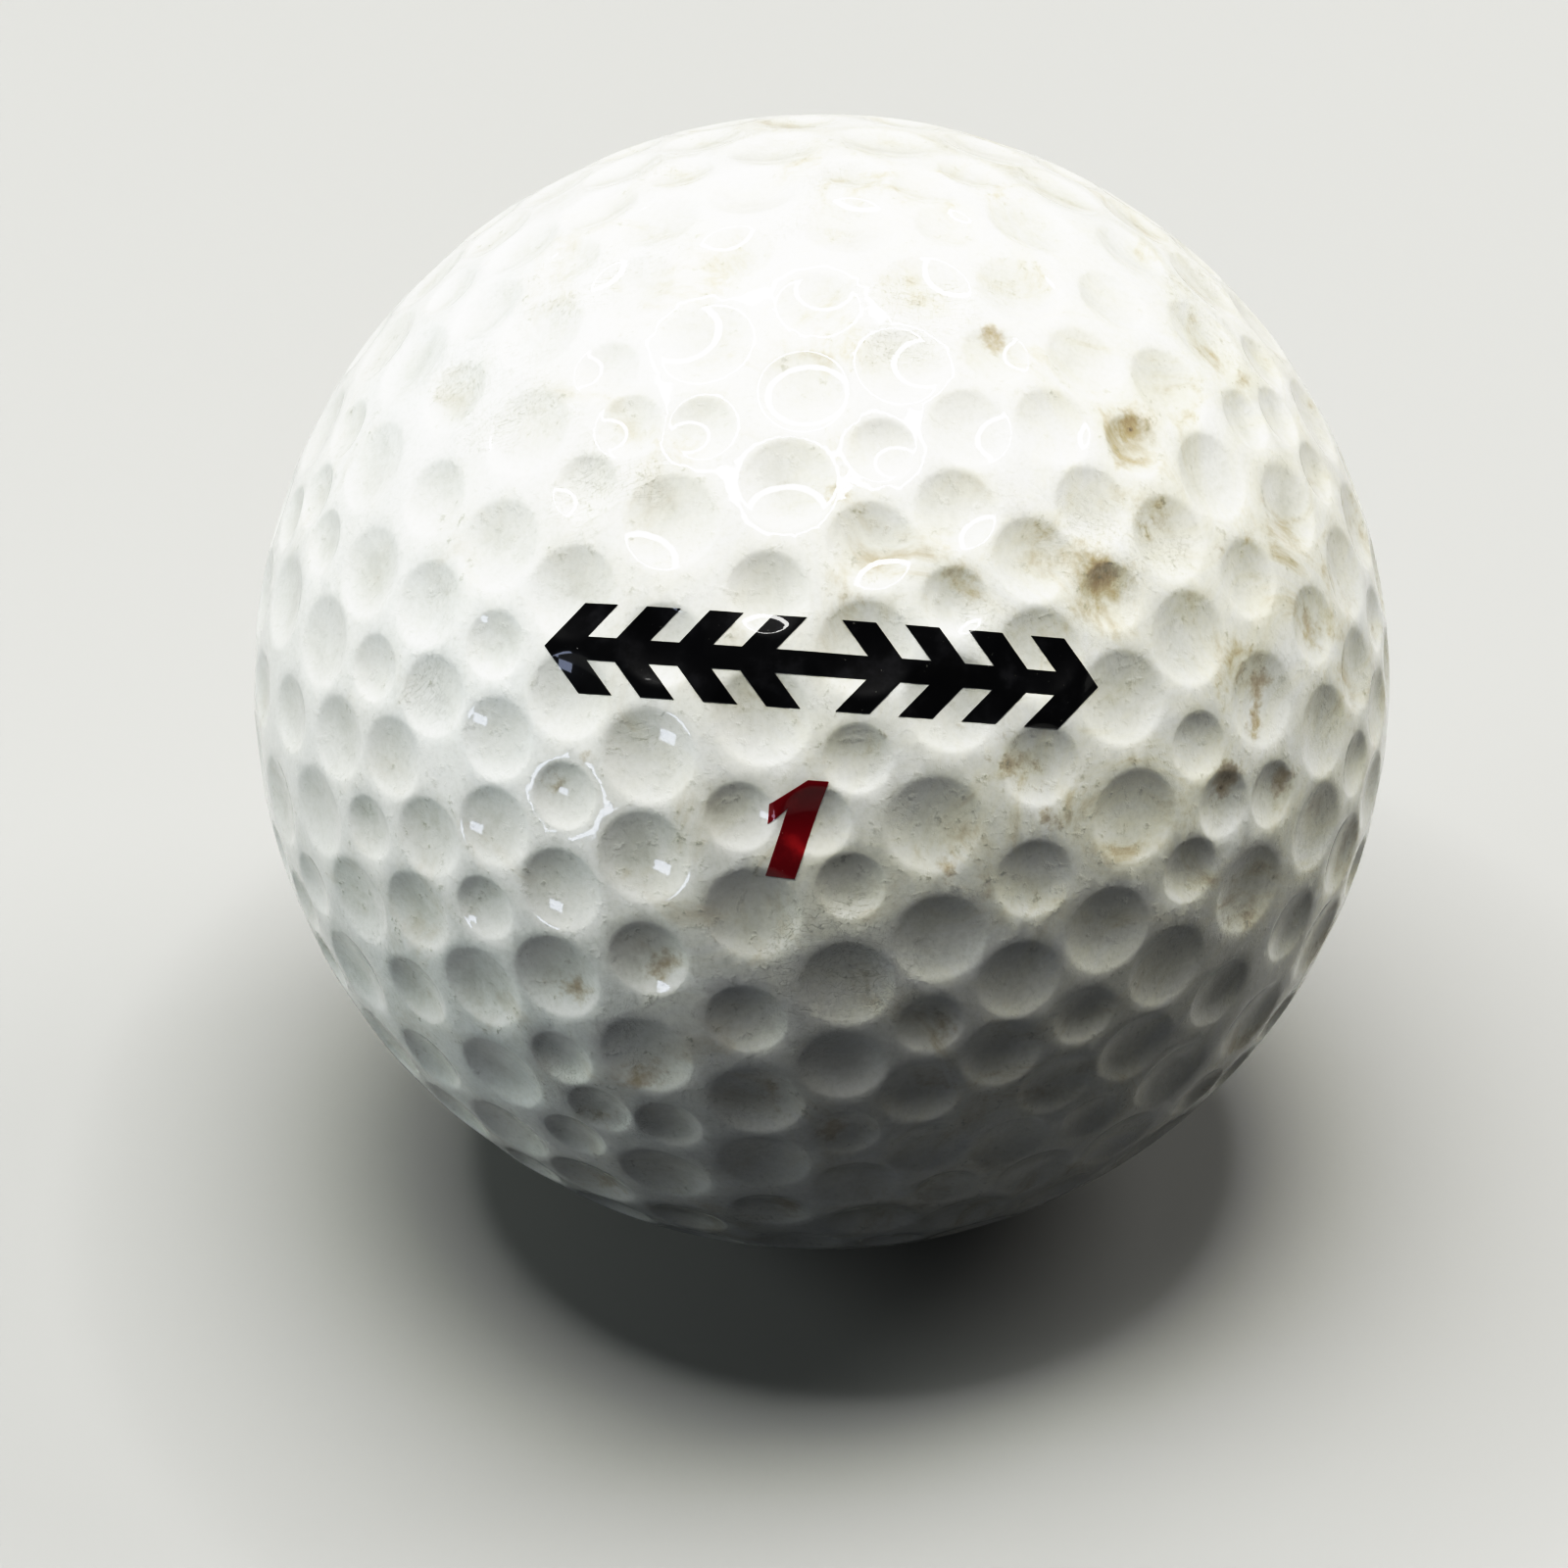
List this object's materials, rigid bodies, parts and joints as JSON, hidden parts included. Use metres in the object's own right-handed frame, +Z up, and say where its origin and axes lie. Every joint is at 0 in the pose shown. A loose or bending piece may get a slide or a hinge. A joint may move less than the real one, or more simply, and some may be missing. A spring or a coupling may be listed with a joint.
{
  "type": "golf ball",
  "caption": "Two-piece golf ball with a solid rubber core, a dimpled white cover and a printed alignment mark and play number on each side.",
  "frame": {"origin": "centre of the ball", "axes": "+Z up from the resting point to the top; -Y towards the side that carries the front alignment mark; +X to the right of that mark"},
  "size_m": [0.0426, 0.0426, 0.0426],
  "materials": {
    "core_rubber": "matte moulded polybutadiene",
    "cover_ionomer": "used gloss clear coat over off-white ionomer",
    "black_ink": "pad-printed ink under the clear coat",
    "red_ink": "pad-printed ink under the clear coat"
  },
  "bodies": {
    "root": {"core": "core_rubber", "cover": "cover_ionomer", "front_alignment_mark": "black_ink", "front_play_number": "red_ink", "back_alignment_mark": "black_ink", "back_play_number": "red_ink"}
  },
  "joints": []
}
